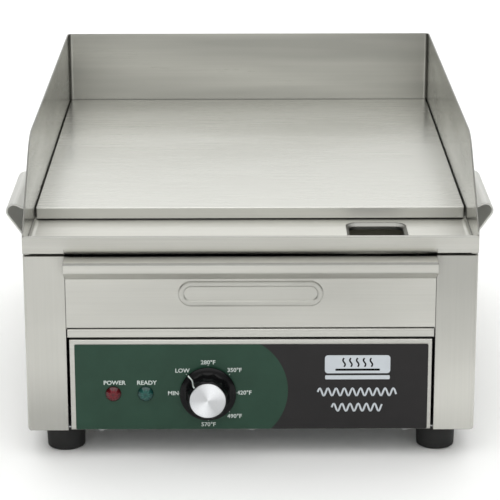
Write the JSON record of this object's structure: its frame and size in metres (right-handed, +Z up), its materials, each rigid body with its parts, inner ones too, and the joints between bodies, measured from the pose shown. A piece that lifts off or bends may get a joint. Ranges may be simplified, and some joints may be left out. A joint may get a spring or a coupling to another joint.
{
  "type": "flat top griddle",
  "caption": "Countertop electric griddle: flat plate between splash guards, grease trough with drain, slide-out grease tray, knob and lamps on a front panel, side handles and rubber feet.",
  "frame": {"origin": "on the surface the feet stand on, under the middle of the bounding box", "axes": "+X to the right of a person facing the control panel, +Y from the front to the back, +Z up"},
  "size_m": [0.4294, 0.5372, 0.2505],
  "materials": {
    "stainless": "brushed stainless sheet, fine straight grain",
    "plate_steel": "ground steel plate, cross grain",
    "zinc_plated": "zinc plated steel",
    "element_sheath": "dark oxidised heater sheath",
    "black_rubber": "matt black rubber",
    "black_plastic": "glossy black phenolic",
    "grey_plastic": "grey insulation",
    "overlay_film": "printed film, dark green and charcoal",
    "spun_aluminium": "spun, fine circular grain",
    "red_lens": "clear red lens",
    "green_lens": "clear green lens",
    "mineral_wool": "pressed mineral wool",
    "steatite": "cream ceramic",
    "copper_tube": "drawn copper",
    "wire_brown": "brown sleeve",
    "wire_blue": "blue sleeve",
    "wire_green": "green sleeve"
  },
  "bodies": {
    "chassis": {"base_plate": "zinc_plated", "cable_gland": "black_plastic", "capillary_tube": "copper_tube", "clamp_nut_1": "zinc_plated", "clamp_nut_2": "zinc_plated", "clamp_nut_3": "zinc_plated", "clamp_nut_4": "zinc_plated", "control_panel": "stainless", "earth_wire": "wire_green", "element_clamp_front": "zinc_plated", "element_clamp_rear": "zinc_plated", "foot_front_left": "black_rubber", "foot_front_right": "black_rubber", "foot_rear_left": "black_rubber", "foot_rear_right": "black_rubber", "foot_screw_front_left": "zinc_plated", "foot_screw_front_right": "zinc_plated", "foot_screw_rear_left": "zinc_plated", "foot_screw_rear_right": "zinc_plated", "gland_nut": "black_plastic", "griddle_plate": "plate_steel", "handle_left": "stainless", "handle_right": "stainless", "heat_shield": "zinc_plated", "heating_element_left": "element_sheath", "heating_element_right": "element_sheath", "insulation_blanket": "mineral_wool", "live_wire": "wire_brown", "load_link": "wire_brown", "load_wire": "wire_brown", "neutral_wire_left": "wire_blue", "neutral_wire_right": "wire_blue", "panel_overlay": "overlay_film", "panel_screw_1": "zinc_plated", "panel_screw_2": "zinc_plated", "panel_screw_3": "zinc_plated", "power_lamp_body": "grey_plastic", "power_lamp_lead": "grey_plastic", "power_lamp_lens": "red_lens", "ready_lamp_body": "grey_plastic", "ready_lamp_lead": "grey_plastic", "ready_lamp_lens": "green_lens", "rear_panel": "stainless", "side_panel_left": "stainless", "side_panel_right": "stainless", "splash_guard": "stainless", "terminal_block": "steatite", "thermostat_body": "steatite", "thermostat_bulb": "copper_tube", "thermostat_screw_left": "zinc_plated", "thermostat_screw_right": "zinc_plated", "top_frame": "stainless", "tray_runner_left": "zinc_plated", "tray_runner_right": "zinc_plated", "tray_shelf": "stainless"},
    "tray": {"tray_pan": "stainless", "tray_front": "stainless"},
    "knob": {"control_knob": "black_plastic", "knob_cap": "spun_aluminium", "thermostat_shaft": "zinc_plated"}
  },
  "joints": [
    {"name": "tray_slide", "type": "slide", "parent": "chassis", "child": "tray", "axis": [0, -1, 0], "range_m": [0, 0.24]},
    {"name": "knob_turn", "type": "hinge", "parent": "chassis", "child": "knob", "pos_m": [-0.0346, -0.24865, 0.0561], "axis": [0, 1, 0], "range_deg": [-45, 225]}
  ]
}
